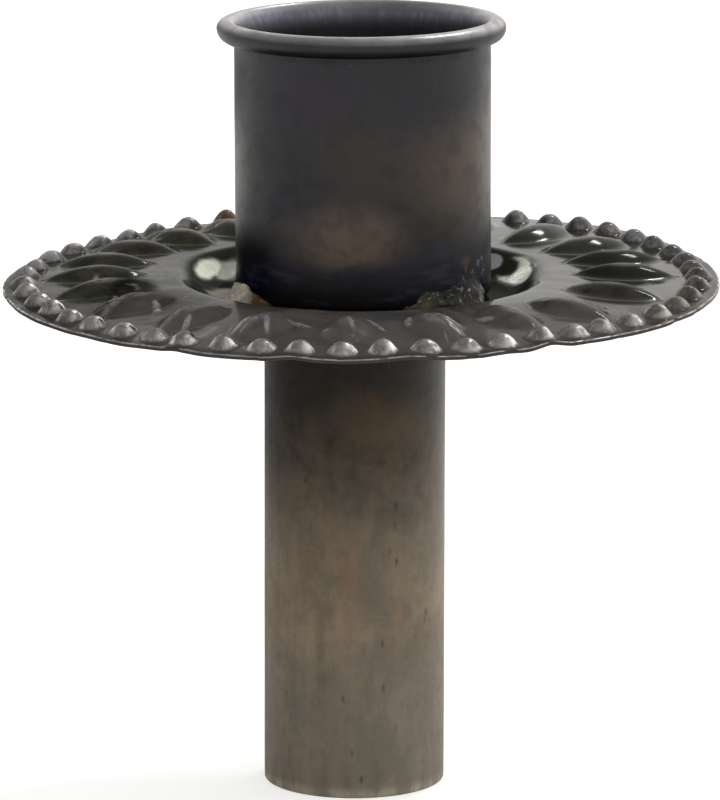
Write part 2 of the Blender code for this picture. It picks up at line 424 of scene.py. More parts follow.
def cupSection():
    bottom, wall, radius = cup["bottom"], cup["wall"], cup["radius"]
    bore = radius - wall
    crest = radius + cup["rimHollow"]
    curl = (crest, cup["top"] - wall - cup["rimRise"])
    outerHalf = cup["rimHollow"] + wall
    corner = (radius - cup["corner"], bottom + cup["corner"])
    innerCorner = cup["corner"] - wall
    innerCentre = (bore - innerCorner, bottom + wall + innerCorner)
    funnelTop = (crest, cup["top"] - cup["funnel"])
    section = [(0, bottom), (corner[0] / 2, bottom)]
    section += arcPoints(corner, cup["corner"], cup["corner"], -90, 0, 12)
    section += [(radius, height) for height in spread(corner[1], curl[1] - cup["sideEnd"], 14)]
    section += arcPoints(curl, cup["rimHollow"], cup["rimRise"], 180, 0, 8)
    section += arcPoints(curl, cup["rimHollow"], cup["rimDrop"], 0, -80, 6)[1:]
    section += arcPoints(curl, outerHalf, cup["rimDrop"] + wall, -86, 0, 10)
    section += arcPoints(curl, outerHalf, cup["rimRise"] + wall, 0, 90, 10)[1:]
    section += arcPoints(funnelTop, crest - bore, cup["funnel"], 90, 180, 10)[1:]
    section += [(bore, height) for height in spread(funnelTop[1], bottom + cup["boreEnd"], 10)]
    section += arcPoints(innerCentre, innerCorner, innerCorner, 0, -90, 8)
    section += [(corner[0] / 2, bottom + wall), (0, bottom + wall)]
    return section


def makeCup():
    shape = spinSection(cupSection(), cup["steps"])
    lean = math.tan(math.radians(cup["roll"]))
    bore = cup["radius"] - cup["wall"]
    crest = cup["radius"] + cup["rimHollow"]
    slack = 0.01
    inner = shape.verts.layers.float.new("inner")
    for vert in shape.verts:
        across = (crest - math.hypot(vert.co.x, vert.co.y) / mm) / (crest - bore)
        above = max(0.0, vert.co.z / mm - cup["top"] + cup["funnel"]) / cup["funnel"]
        vert[inner] = float(across > -slack and across * across + above * above > 1 - 3 * slack)
        rise = (vert.co.z - cup["bottom"] * mm) / ((cup["top"] - cup["bottom"]) * mm)
        push = 1 + cup["dents"] * wobble(vert.co, *cup["dentGrain"]) / cup["radius"]
        share = cup["shiftFoot"] + (cup["shiftTop"] - cup["shiftFoot"]) * rise
        share -= cup["shiftTop"] * rampUp(rise, *cup["rimFrom"])
        vert.co.z += vert.co.x * lean * ease(rise)
        vert.co.x = vert.co.x * push + cup["shift"] * mm * share
        vert.co.y *= push
    addPiece("candleCup", shape, cupMaterial(), "candle_cup")


makeCup()


# drip plate

plate = {
    "floor": 49.3,
    "sheet": 0.4,
    "floorRadius": 14.6,
    "wellEdge": 18.5,
    "wellDepth": 2.1,
    "landEnd": 20.0,
    "petalMiddle": 26.3,
    "petalLength": 10.2,
    "petalWidth": 5.7,
    "petalHeight": 1.2,
    "petalTaper": 0.8,
    "petalFall": 0.95,
    "petalRound": 2.0,
    "petalSteep": 1.5,
    "petalMargin": 0.3,
    "petalAngles": [
        -168.3, -150, -134.5, -119.2, -102.4, -88.1, -72.8, -55.9, -37.7, -20.7, -3.0,
        14.8, 33.0, 49.0, 69.0, 88.8, 104.3, 119.5, 136.9, 155.2, 173.4,
    ],
    "foldSteep": 1.4,
    "ribs": [  # folds beside a petal: both ends as radius and offset, height, half width, share at the back
        ((25.0, 0.6), (27.8, 3.0), 0.5, 0.6, 0.5),
        ((22.2, 1.6), (25.6, 3.6), 0.36, 0.55, 0.0),
    ],
    "ribEnds": 0.45,  # share of a fold's height at its ends
    "ribReach": 0.2,  # angle by which a rib may reach past its own petal
    "creaseEnds": 0.4,
    "creaseZone": (20, 32),
    "creasedPetals": (-2.0, 0.6),  # angles of the petals that have creases and no ribs
    "creases": [  # folds on the front and the left: both ends, height, half width, wear
        ((-12.4, -27.6), (-10.3, -22.2), 0.22, 0.6, 0.4),
        ((-9.0, -24.6), (-8.9, -27.8), 0.18, 0.34, 0.58),
        ((-7.0, -23.2), (-4.7, -25.7), 0.26, 0.5, 0.45),
        ((-1.2, -25.8), (-0.8, -28.6), 0.18, 0.36, 0.55),
        ((0.4, -22.8), (2.2, -27.0), 0.34, 0.42, 0.65),
        ((4.4, -22.8), (4.5, -26.4), 0.28, 0.42, 0.62),
        ((6.7, -22.5), (9.6, -25.3), 0.34, 0.5, 0.55),
        ((7.5, -25.2), (9.6, -28.0), 0.24, 0.5, 0.45),
        ((11.0, -22.2), (12.6, -23.4), 0.28, 0.42, 0.6),
        ((-16.3, -22.6), (-17.0, -25.2), 0.22, 0.36, 0.6),
        ((-19.9, -15.4), (-19.4, -18.4), 0.24, 0.42, 0.65),
        ((-24.0, -10.6), (-23.6, -13.6), 0.24, 0.42, 0.45),
        ((-26.2, -2.6), (-25.9, -6.6), 0.2, 0.34, 0.5),
        ((-25.3, -18.6), (-21.4, -13.2), 0.22, 0.6, 0.2),
        ((-19.6, -25.4), (-16.4, -20.0), 0.22, 0.6, 0.2),
    ],
    "beadRing": 33.3,
    "beadRadius": 1.5,
    "beadHeight": 1.06,
    "beadRound": 2.3,
    "beadSteep": 1.25,
    "beadMargin": 0.15,
    "beadFoot": 0.45,  # share of a bead's radius over which vertices are drawn to its foot
    "beadPull": 0.8,
    "beadAngles": [
        -178.1, -170.4, -162.7, -155.0, -147.5, -140.4, -134.1, -126.7, -118.5, -110.6, -101.6, -93.6, -86.2,
        -79.0, -71.3, -64.3, -57.7, -50.3, -43.0, -36.1, -30.1, -23.0, -16.4, -9.9, -3.0, 3.5,
        10.5, 17.2, 23.5, 30.5, 37.6, 43.5, 50.9, 59.0, 66.5, 74.5, 82.5, 89.5, 96.3,
        103.0, 109.6, 116.8, 123.4, 130.5, 137.5, 144.2, 151.1, 158.8, 166.5, 174.2,
    ],
    "bigBead": (-155.0, 1.4),  # angle, share of the height
    "radius": 35.48,
    "lip": 0.12,
    "edge": 50.51,  # mean height of the trimmed edge
    "edgeDents": [  # angle, half width in degrees, height
        (30.5, 4.5, 0.4), (-29.0, 4.0, 0.12), (17.0, 5.0, -0.1), (56.0, 6.0, -0.1),
        (-11.0, 4.5, 0.24), (7.5, 6.0, 0.14), (-2.0, 4.0, -0.06),
    ],
    "edgeWaves": [  # cosine and sine parts of the waves round the edge, the longest first
        (-0.67, 0.41), (-0.09, -0.17), (0.04, 0.08), (-0.03, 0.07), (0.04, -0.06), (-0.06, 0.03),
    ],
    "brimCurve": 1.8,
    "leanForward": 0.93,
    "leanFrom": (10, 15),
    "beaten": (0.05, (5, 1.3), (2.2, 4.4), 0.5),  # height, coarse and fine grain, share of the fine
    "beatenFrom": (14, 18),
    "hammered": (0.04, (1.9, 2.7), (0.8, 6.1), 0.5),
    "dented": (0.09, (1.2, 7.7), (0.6, 3.3), 0.4),
    "edgeRipple": 0.1,
    "rippleGrain": (4.0, 8.2),
    "edgeWander": 0.003,
    "wanderGrain": (8, 5.9),
    "stepsPerBead": 16,
    "wear": {  # each has a strength and the two values between which it sets in
        "left": (0.9, 0.42, 0.56),
        "right": (1.0, 0.05, 0.4),
        "outer": (0.75, 0.5, 0.8),
        "petal": (0.16, 0.82, 1.0),
        "rib": (1.0, 0.2, 0.5),
        "front": (0.27, 0.6, 0.9),
        "back": (1.0, -0.6, 0.0),
        "spared": (0.5, 0.8, 0.95),
    },
    "wearTurn": 0.9,
    "leastWear": 0.34,
    "topWear": 0.3,
    "ribWear": 0.38,
    "edgeWear": 0.7,
    "grimeEnd": 17.3,
    "grimeBack": 1.5,
    "steel": (0.022, 0.021, 0.020),
    "dark": (0.010, 0.010, 0.009),
    "grey": (0.120, 0.111, 0.110),
    "olive": (0.048, 0.049, 0.030),
    "burnished": (0.72, 0.70, 0.71),
    "grime": (0.016, 0.017, 0.010),
    "tin": (0.37, 0.38, 0.33),
    "blued": (0.27, 0.27, 0.31),
    "flux": (0.48, 0.45, 0.38),
    "rust": (0.13, 0.062, 0.022),
    "warm": (0.62, 0.57, 0.51),
    "flange": (0.040, 0.034, 0.028),
    "clouds": [(120, 0.36, 0.64), (380, 0.4, 0.62), (1100, 0.38, 0.66), (230, 0.5, 0.66)],
    "waver": 8.0,
    "front": (-10.0, -23.0),  # depths, widths and radii between which a zone sets in
    "left": (0.0, -16.0),
    "outer": (33.9, 34.9),
    "coat": {"right": 0.68, "left": 0.5, "front": 0.24, "well": 0.07},  # strength of the gloss by zone
    "rusted": ((-13.2, 30.6, 52.0), (2.6, 4.0, 3.0)),  # centre and reach of a spot
    "rustSide": ((-24.0, 16.0, 51.0), (17.0, 20.0, 9.0)),
    "warmSide": ((32.0, -8.0, 51.0), (18.0, 18.0, 8.0)),
    "dullSide": ((27.5, -1.0, 52.0), (9.0, 20.0, 8.0)),
    "nearLeft": ((-24.0, -16.0, 51.0), (14.0, 13.0, 8.0)),
    "burnt": ((14.2, 8.1, 50.6), (2.5, 3.0, 1.1)),
    "bluedSpot": ((13.0, 10.3, 50.7), (1.6, 2.4, 0.9)),
    "fluxed": ((-13.3, 0.2, 49.5), (2.6, 3.6, 1.0)),
    "tinned": [  # bright spots on the well's wall: centre, reach, strength, edge
        ((-15.6, 6.9, 50.55), (2.6, 4.2, 1.1), 1.0, 0.5),
        ((-13.4, 8.0, 50.1), (2.6, 4.4, 1.1), 0.6, 0.5),
        ((15.5, 6.1, 50.45), (2.7, 4.4, 1.45), 1.0, 0.68),
    ],
    "dull": [  # spots without gloss
        ((-22.3, -7.0, 52.0), (3.5, 7.5, 4.0)),
        ((-0.6, -30.6, 51.3), (2.5, 2.6, 3.0)),
        ((8.2, -29.3, 51.3), (2.2, 3.2, 3.0)),
    ],
}


def plateMaterial():
    material, shader, place, apart = startMaterial("blackenedPlate")
    worn, well, upper, raised = [readMask(shader, name) for name in ("worn", "well", "upper", "petal")]
    patches, dapples, fine, spots = cloudMasks(place, plate["clouds"])
    front = ramp(wavered(apart["Y"], patches, plate["waver"]), *plate["front"])
    left = ramp(wavered(apart["X"], patches, plate["waver"]), *plate["left"])
    outer = ramp(axisDistance(apart), *plate["outer"])
    shade = mixColour(patches, plate["steel"], plate["dark"])
    shade = paint(shade, times(left, dapples), plate["olive"])
    shade = paint(shade, dimmed(front, dapples, 0.8), plate["grey"])
    rustSide = spot(place, plate["rustSide"], ragged=0.8, scale=150.0)
    rusted = spot(place, plate["rusted"], ragged=0.8, scale=300.0)
    rusty = times(spots, between(rustSide, 0.05, 0.3))
    shade = paint(shade, larger(rusty, times(rusted, 0.9)), plate["rust"])
    shade = paint(shade, outer, plate["flange"], strength=0.6)
    shade = paint(shade, well, plate["grime"])
    fluxed = spot(place, plate["fluxed"], ragged=1.2, scale=380.0)
    shade = paint(shade, times(fluxed, upper), plate["flux"])
    bright = 0.0
    for *where, strength, edge in plate["tinned"]:
        patch = spot(place, where, ragged=1.0, scale=280.0, edge=edge)
        bright = larger(times(patch, strength), bright)
    burnt = spot(place, plate["burnt"], ragged=0.4, scale=420.0, edge=0.65)
    bright = times(bright, mathNode("SUBTRACT", 1.0, burnt))
    bright = times(bright, dimmed(upper, fine, 0.9))
    blued = spot(place, plate["bluedSpot"], ragged=0.3, scale=420.0, edge=0.7)
    blued = times(blued, upper)
    shade = paint(shade, blued, plate["blued"])
    shade = paint(shade, bright, plate["tin"])
    bright = larger(bright, times(blued, 0.8))
    rubbed = times(worn, between(fine, 1.1, 0.4))
    rubbed = dimmed(rubbed, rusted, 0.15)
    warmSide = spot(place, plate["warmSide"], ragged=0.6, scale=150.0, edge=0.2)
    shade = paint(shade, rubbed, mixColour(warmSide, plate["burnished"], plate["warm"]))
    bare = larger(rubbed, bright)
    coat = plate["coat"]
    mottle = mathNode("ADD", times(dapples, 0.7), times(fine, 0.3))
    gloss = between(left, coat["right"], coat["left"])
    gloss = times(gloss, between(times(mottle, left), 1.08, 0.72))
    gloss = dimmed(gloss, raised, 0.8)
    dullSide = spot(place, plate["dullSide"], ragged=0.3, scale=150.0)
    gloss = dimmed(gloss, times(raised, dullSide), 0.45)
    for mask, level in ((front, coat["front"]), (well, coat["well"]), (bare, 0.0)):
        less = times(mask, mathNode("SUBTRACT", gloss, level))
        gloss = mathNode("SUBTRACT", gloss, less)
    nearLeft = spot(place, plate["nearLeft"], ragged=0.4, scale=150.0, edge=0.3)
    gloss = dimmed(gloss, nearLeft, 0.5)
    for where in plate["dull"]:
        gloss = dimmed(gloss, spot(place, where, ragged=0.4, scale=300.0, edge=0.3), 0.12)
    gloss = dimmed(gloss, outer, 0.72)
    roughness = between(bare, 0.6, 0.2)
    finish = {"Base Color": shade, "Metallic": bare, "Roughness": roughness, "Coat Weight": gloss}
    setFinish(shader, finish, coatRoughness=0.13)
    setBump(shader, fine, distance=0.012, strength=0.35)
    return material


def platePetals():
    chance = random.Random(5)
    petals = []
    for angle in plate["petalAngles"]:
        petals.append({
            "angle": math.radians(angle),
            "out": chance.uniform(-0.25, 0.25),
            "wide": chance.uniform(0.95, 1.05),
            "high": chance.uniform(0.93, 1.07),
        })
    return petals


def plateBeads():
    chance = random.Random(11)
    bigAngle, bigShare = plate["bigBead"]
    beads = []
    for angle in plate["beadAngles"]:
        beads.append({
            "angle": math.radians(angle),
            "out": chance.uniform(-0.12, 0.12),
            "wide": chance.uniform(0.94, 1.06),
            "high": chance.uniform(0.9, 1.08) * (bigShare if angle == bigAngle else 1),
            "worn": chance.uniform(0.75, 1.1),
        })
    return beads


def nearestTo(angle, shapes):
    return min(shapes, key=lambda shape: abs(turn(angle, shape["angle"])))


def nearLine(x, y, start, end):
    reach = (end[0] - start[0], end[1] - start[1])
    along = (x - start[0]) * reach[0] + (y - start[1]) * reach[1]
    share = min(max(along / (reach[0] ** 2 + reach[1] ** 2), 0.0), 1.0)
    return share, math.hypot(x - start[0] - share * reach[0], y - start[1] - share * reach[1])


def foldRise(share, away, atEnds):
    side = max(0.0, 1 - away ** 2) ** plate["foldSteep"]
    return side * (atEnds + (1 - atEnds) * math.sin(math.pi * share))


def petalRise(radius, angle, petal):
    along = (radius - plate["petalMiddle"] - petal["out"]) / (plate["petalLength"] / 2)
    if abs(along) >= 1:
        return 0.0
    taper = 1 - along * along
    halfWidth = petal["wide"] * plate["petalWidth"] / 2 * taper ** plate["petalTaper"]
    across = abs(turn(angle, petal["angle"])) * radius / halfWidth
    if across >= 1:
        return 0.0
    side = (1 - across ** plate["petalRound"]) ** plate["petalSteep"]
    return petal["high"] * taper ** plate["petalFall"] * side


def ribRise(radius, angle, petal):
    first, last = plate["creasedPetals"]
    if first < petal["angle"] < last:
        return 0.0
    facing = rampUp(math.cos(petal["angle"]), -0.1, 0.4)  # ribs are shallow on the sides and the back
    offset = turn(angle, petal["angle"]) * radius
    rise = 0.0
    for start, end, high, wide, low in plate["ribs"]:
        share, away = nearLine(radius - petal["out"], offset, start, end)
        fold = foldRise(share, away / wide, plate["ribEnds"])
        rise = max(rise, high * (low + (1 - low) * facing) * petal["high"] * fold)
    return rise


def creaseRise(x, y):
    rise = 0.0
    rubbed = 0.0
    for start, end, high, wide, wear in plate["creases"]:
        share, away = nearLine(x, y, start, end)
        if away < wide:
            fold = foldRise(share, away / wide, plate["creaseEnds"])
            rise = max(rise, high * fold)
            rubbed = max(rubbed, wear * rampUp(fold, 0.3, 0.7))
    return rise, rubbed


def wearOf(kind, value):
    strength, start, end = plate["wear"][kind]
    return strength * rampUp(value, start, end)


def beadWear(bead, outwards, sideways, rise):
    sideOn = math.sin(bead["angle"])
    front = 0.5 + 0.5 * rampUp(math.cos(bead["angle"]), -0.35, 0.55)
    lean = max(-plate["wearTurn"], min(plate["wearTurn"], bead["angle"]))  # worn sides turn to the front
    across = sideways * math.cos(lean) + outwards * math.sin(lean)
    out = outwards * math.cos(lean) - sideways * math.sin(lean)
    sides = max(wearOf("left", -across), wearOf("right", across + 0.25 * out), wearOf("outer", out))
    rubbed = front * rampUp(out, -0.5, 0.0) * max(plate["leastWear"], sides)
    crown = (0.2 + (1 - front) * (0.2 + 0.9 * ease(0.5 - sideOn))) * rampUp(rise, 0.5, 0.9)
    return bead["worn"] * rampUp(rise, 0.0, 0.2) * max(rubbed, crown) * (1 - wearOf("spared", sideOn))


def drawnToFoot(away):
    past = (away - 1) / plate["beadFoot"]
    if abs(past) >= 1:
        return away
    return 1 + plate["beadFoot"] * past * abs(past) ** plate["beadPull"]


def onBead(radius, angle, bead):
    outwards = radius - plate["beadRing"] - bead["out"]
    sideways = turn(angle, bead["angle"]) * radius
    size = plate["beadRadius"] * bead["wide"]
    away = math.hypot(outwards, sideways) / size
    if away > 1 + plate["beadFoot"]:
        return radius, angle, 0.0, 0.0
    if away < 0.001:
        return radius, angle, bead["high"], plate["topWear"]
    pulled = drawnToFoot(away)
    newRadius = radius + outwards * (pulled / away - 1)
    newAngle = bead["angle"] + sideways * pulled / away / newRadius
    rise = bead["high"] * max(0.0, 1 - pulled ** plate["beadRound"]) ** plate["beadSteep"]
    return newRadius, newAngle, rise, beadWear(bead, outwards / size, sideways / size, rise)


def edgeHeight(angle):
    height = plate["edge"]
    for count, (cosine, sine) in enumerate(plate["edgeWaves"], 1):
        height += cosine * math.cos(count * angle) + sine * math.sin(count * angle)
    for place, wide, rise in plate["edgeDents"]:
        away = abs(math.degrees(turn(angle, math.radians(place))))
        height += rise * ease(1 - away / wide)
    return height


def brimHeight(radius, angle):
    wall = rampUp(radius, plate["floorRadius"], plate["wellEdge"])
    past = max(0.0, radius - plate["landEnd"]) / (plate["radius"] - plate["landEnd"])
    lean = -math.cos(angle) * math.tan(math.radians(plate["leanForward"]))
    land = plate["floor"] + plate["wellDepth"] * wall + lean * radius * rampUp(radius, *plate["leanFrom"])
    edgeLand = plate["floor"] + plate["wellDepth"] + lean * plate["radius"]
    return land + (edgeHeight(angle) - edgeLand) * past ** plate["brimCurve"]


def plateSection():
    petalReach = plate["petalLength"] / 2 + plate["petalMargin"]
    beadReach = plate["beadRadius"] + plate["beadMargin"]
    lip = plate["radius"] - plate["lip"]
    rings = [  # radius where a zone ends, rows in it
        (10, 2), (plate["floorRadius"], 4), (plate["wellEdge"], 11),
        (plate["petalMiddle"] - petalReach, 3), (plate["petalMiddle"] + petalReach, 24),
        (plate["beadRing"] - beadReach, 1), (plate["beadRing"] + beadReach, 15), (lip, 3),
    ]
    radii = [0]
    for end, count in rings:
        radii += spread(radii[-1], end, count)
    top = [(radius, 0) for radius in radii]
    edge = arcPoints((lip, -plate["sheet"] / 2), plate["lip"], plate["sheet"] / 2, 60, -60, 4)
    bottom = [(radius, -plate["sheet"]) for radius in reversed(radii[::2])]
    return top + edge + bottom


def plateAngles(beads, petals):
    count = len(beads)
    angles = []
    for step in range(count * plate["stepsPerBead"] + 1):
        index, part = divmod(step, plate["stepsPerBead"])
        start = beads[index % count]["angle"]
        gap = turn(beads[(index + 1) % count]["angle"], start)
        angle = start + gap * part / plate["stepsPerBead"]  # the same number of steps for every bead
        before = nearestTo(angle - plate["ribReach"], petals)
        angles.append((angle, nearestTo(angle, petals), before, nearestTo(angle, beads)))
    return angles


def plateUnevenness(place, radius, petalUp, beadUp):
    pressed = max(ease(petalUp * 2), ease(beadUp * 2))
    beaten = unevenness(place, *plate["beaten"]) * rampUp(radius, *plate["beatenFrom"])
    beaten += unevenness(place, *plate["hammered"]) * pressed
    return beaten + unevenness(place, *plate["dented"]) * ease(beadUp * 2)


def makePlate():
    section = plateSection()
    angles = plateAngles(plateBeads(), platePetals())
    rows = len(section) - 1
    steps = len(angles) - 1
    shape = bmesh.new()
    bmesh.ops.create_grid(shape, x_segments=steps, y_segments=rows, size=1)
    worn, well, petalMask, upper = [
        shape.verts.layers.float.new(name) for name in ("worn", "well", "petal", "upper")
    ]
    for vert in shape.verts:
        angle, petal, before, bead = angles[round((vert.co.x + 1) / 2 * steps)]
        radius, depth = section[round((vert.co.y + 1) / 2 * rows)]
        petalUp = petalRise(radius, angle, petal)
        ribUp = max(ribRise(radius, angle, petal), ribRise(radius, angle, before))
        radius, angle, beadUp, beadWorn = onBead(radius, angle, bead)
        facing = math.cos(angle)
        place = Vector((math.sin(angle), -facing, 0)) * radius * mm
        creaseUp = creaseWorn = 0.0
        if plate["creaseZone"][0] < radius < plate["creaseZone"][1]:
            creaseUp, creaseWorn = creaseRise(place.x / mm, place.y / mm)
        ribWorn = wearOf("rib", ribUp) * wearOf("back", facing) * (plate["ribWear"] + wearOf("front", facing))
        onEdge = radius > plate["radius"] - plate["lip"] - 0.01 and depth > -0.12 * plate["sheet"]
        edgeWorn = plate["edgeWear"] * onEdge
        vert[upper] = float(depth > -0.5 * plate["sheet"])
        petalWorn = wearOf("petal", petalUp)
        vert[worn] = vert[upper] * min(1.0, max(beadWorn, edgeWorn, petalWorn, ribWorn, creaseWorn))
        vert[petalMask] = rampUp(petalUp, 0.0, 0.3)
        grimeEnd = plate["grimeEnd"] + plate["grimeBack"] * ease(-facing * radius / 10)
        vert[well] = ease(grimeEnd - radius + 0.5)
        rim = rampUp(radius, plate["beadRing"], plate["radius"])
        trimmed = 1 + plate["edgeWander"] * wobble(place, *plate["wanderGrain"]) * rim
        petalHigh = petalUp * plate["petalHeight"]
        rise = max(petalHigh, ribUp + 0.6 * petalHigh) + beadUp * plate["beadHeight"] + creaseUp
        rise += plateUnevenness(place, radius, petalUp, beadUp)
        rise += plate["edgeRipple"] * wobble(place, *plate["rippleGrain"]) * rim
        height = (depth + brimHeight(radius, angle) + rise) * mm
        vert.co = Vector((place.x * trimmed, place.y * trimmed, height))
    bmesh.ops.remove_doubles(shape, verts=shape.verts, dist=weldDistance)
    bmesh.ops.recalc_face_normals(shape, faces=shape.faces)
    addPiece("dripPlate", shape, plateMaterial(), "drip_plate")


makePlate()


# bottle tube

tube = {
    "radius": 9.0,
    "wall": 1.0,
    "length": 48.6,
    "offset": -0.7,
    "lean": 0.11,  # how far the top stands to the right of the foot
    "edge": 0.3,
    "sideFoot": 1.0,
    "dents": 0.03,
    "dentGrain": (10, 6.6),
    "steps": 160,
    "brown": (0.205, 0.148, 0.098),
    "taupe": (0.330, 0.258, 0.188),
    "slate": (0.165, 0.152, 0.124),
    "grey": (0.255, 0.220, 0.178),
    "umber": (0.135, 0.088, 0.046),
    "dark": (0.012, 0.008, 0.003),
    "pit": (0.035, 0.029, 0.022),
    "bare": (0.48, 0.42, 0.34),
    "clouds": [(120, 0.35, 0.65), (900, 0.38, 0.66), (2400, 0.6, 0.72)],
    "lines": [(1000, 0.05, 0.35, 0.7)],
    "waver": 6.0,
    "greyFoot": (20.0, 9.0, 0.0, 0.8),  # heights between which a finish sets in, some with strengths
    # painted shade under the plate, with heat scorch: heights over which the tube darkens
    "scorchAndShade": (21.0, 41.0),
    "rubbedFoot": (1.4, 0.3),
    "rightSheen": (12.0, 30.0, 0.0, 0.3),
    "topSheen": (42.0, 47.0, 1.0, 0.75),
    "rightFrom": (2.0, 8.0),  # places from left to right
    "sheen": (-9.0, 7.0, 0.29, 0.42),
    "pitted": ((2.9, -8.4, 18.0), (1.5, 3.0, 30.0)),  # centre and reach of a spot
    "warmed": ((2.6, -8.6, 37.5), (7.0, 6.0, 5.0)),
}


def tubeMaterial():
    material, shader, place, apart = startMaterial("brownedTube")
    height = apart["Z"]
    squeezed = times(height, 0.4)
    drawn = put("ShaderNodeCombineXYZ", {"X": apart["X"], "Y": apart["Y"], "Z": squeezed}).outputs[0]
    lines = lineMasks(place, tube["lines"])[0]
    patches, fine, dust = cloudMasks(place, tube["clouds"])
    mottles = useGroup(clouds, Place=drawn, Scale=330.0, Low=0.38, High=0.64)
    many = useGroup(pits, Place=drawn, Scale=1500.0, Size=0.42, Share=0.3)
    few = useGroup(pits, Place=drawn, Scale=1100.0, Size=0.3, Share=0.035)
    column = spot(place, tube["pitted"], ragged=0.8, scale=240.0)
    holes = larger(few, times(many, column))
    level = wavered(height, patches, tube["waver"])
    shade = mixColour(patches, tube["brown"], tube["taupe"])
    shade = paint(shade, ramp(level, *tube["greyFoot"]), tube["grey"])
    shade = paint(shade, mottles, tube["slate"], strength=0.6)
    shade = paint(shade, times(lines, fine), tube["umber"], strength=0.35)
    # painted shade under the plate, with heat scorch: the tube darkens towards its top
    scorchAndShade = ramp(level, *tube["scorchAndShade"])
    shade = paint(shade, scorchAndShade, tube["dark"])
    warmed = spot(place, tube["warmed"], ragged=0.9, scale=200.0, edge=0.2)
    shade = paint(shade, warmed, tube["umber"], strength=0.55)
    shade = paint(shade, holes, tube["pit"], strength=0.75)
    foot = times(ramp(height, *tube["rubbedFoot"]), between(mottles, 0.9, 0.25))
    dust = times(dust, mapRange(scorchAndShade, 0.0, 0.7, 0.22, 0.0))
    shade = paint(shade, larger(dust, foot), tube["bare"])
    gloss = dimmed(ramp(apart["X"], *tube["sheen"]), fine, 0.85)
    right = times(ramp(apart["X"], *tube["rightFrom"]), ramp(height, *tube["rightSheen"]))
    gloss = times(mathNode("ADD", gloss, right), ramp(height, *tube["topSheen"]))
    roughness = between(fine, 0.45, 0.6)
    finish = {"Base Color": shade, "Roughness": roughness, "Coat Weight": gloss}
    setFinish(shader, finish, coatRoughness=0.34)
    grain = mathNode("SUBTRACT", mathNode("ADD", lines, fine), times(holes, 2.0))
    setBump(shader, grain, distance=0.02, strength=0.6)
    return material


def makeTube():
    radius, length, foot, edge = tube["radius"], tube["length"], tube["sideFoot"], tube["edge"]
    inner = radius - tube["wall"]
    section = [(radius, height) for height in [length] + spread(length, foot, 20)]
    section += arcPoints((radius - edge, edge), edge, edge, 0, -90, 5)
    section += arcPoints((inner + edge, edge), edge, edge, -90, -180, 5)
    section += [(inner, height) for height in spread(foot, length, 8)]
    shape = spinSection(section, tube["steps"], closed=True)
    for vert in shape.verts:
        push = 1 + tube["dents"] * wobble(vert.co, *tube["dentGrain"]) / radius
        vert.co.x = vert.co.x * push + tube["offset"] * mm + tube["lean"] * vert.co.z / length
        vert.co.y *= push
    addPiece("bottleTube", shape, tubeMaterial(), "bottle_tube")


makeTube()


# brazing

braze = {
    "sink": 0.1,
    "shift": 1.2,  # share of the cup's shift
    "least": 0.2,  # share of a tack's size at its ends
    "rows": 10,
    "steps": 90,
    "lumpGrain": ((1.1, 2.0), (0.5, 9.0), 0.7),  # coarse and fine grain, share of the fine
    "lumpSkin": 0.3,
    "lumpFoot": 0.4,
    "tornGrain": ((1.5, 5.5), (0.6, 3.5), 0.6),
    "ringLeg": 1.3,
    "ringHollow": 0.92,
    "ringRough": 0.012,
    "ringGrain": (1.6, 7.7),
    "ringSteps": 120,
    "tacks": {
        "cupBrazeLeft": {
            "node": "cup_braze_left", "start": -93, "end": -30, "peak": 0.32, "climb": 1.8, "reach": 2.0,
            "thin": 0.3, "fall": 1.3, "torn": 0.25, "rough": 0.26,
        },
        "cupBrazeRight": {
            "node": "cup_braze_right", "start": 12, "end": 80, "peak": 0.68, "climb": 3.7, "reach": 1.1,
            "thin": 0.06, "fall": 1.7, "torn": 0.1, "rough": 0.16, "hump": (0.3, 0.45, 0.75),
        },
        "cupBrazeBack": {
            "node": "cup_braze_back", "start": 156, "end": 204, "peak": 0.5, "climb": 1.8, "reach": 1.6,
            "thin": 0.3, "fall": 1.3, "torn": 0.25, "rough": 0.26,
        },
    },
    "beige": (0.74, 0.65, 0.53),
    "brown": (0.105, 0.082, 0.048),
    "crust": (0.030, 0.030, 0.026),
    "soot": (0.010, 0.010, 0.011),
    "olive": (0.012, 0.012, 0.009),
    "orange": (0.16, 0.062, 0.013),
    "fleck": (0.55, 0.53, 0.48),
    "clouds": [(600, 0.36, 0.6), (1900, 0.57, 0.66), (420, 0.4, 0.58)],
    "lumps": (8.2, 6.2),  # places from left to right between which a colour sets in
    "sootSide": (5.0, 8.0),
    "ash": (11.0, 11.9),
    "pale": (-10.4, -11.2),
    "sootRise": (50.7, 51.6),  # heights
    "rightSeam": ((8.6, 9.8), (11.2, 10.4), (50.3, 49.8)),  # both sides and the top of an orange seam
    "leftSeam": ((-7.4, -8.4), (-11.4, -10.6), (50.9, 50.2)),
}


def seamMask(apart, near, far, top):
    across = times(ramp(apart["X"], *near), ramp(apart["X"], *far))
    return times(across, ramp(apart["Z"], *top))


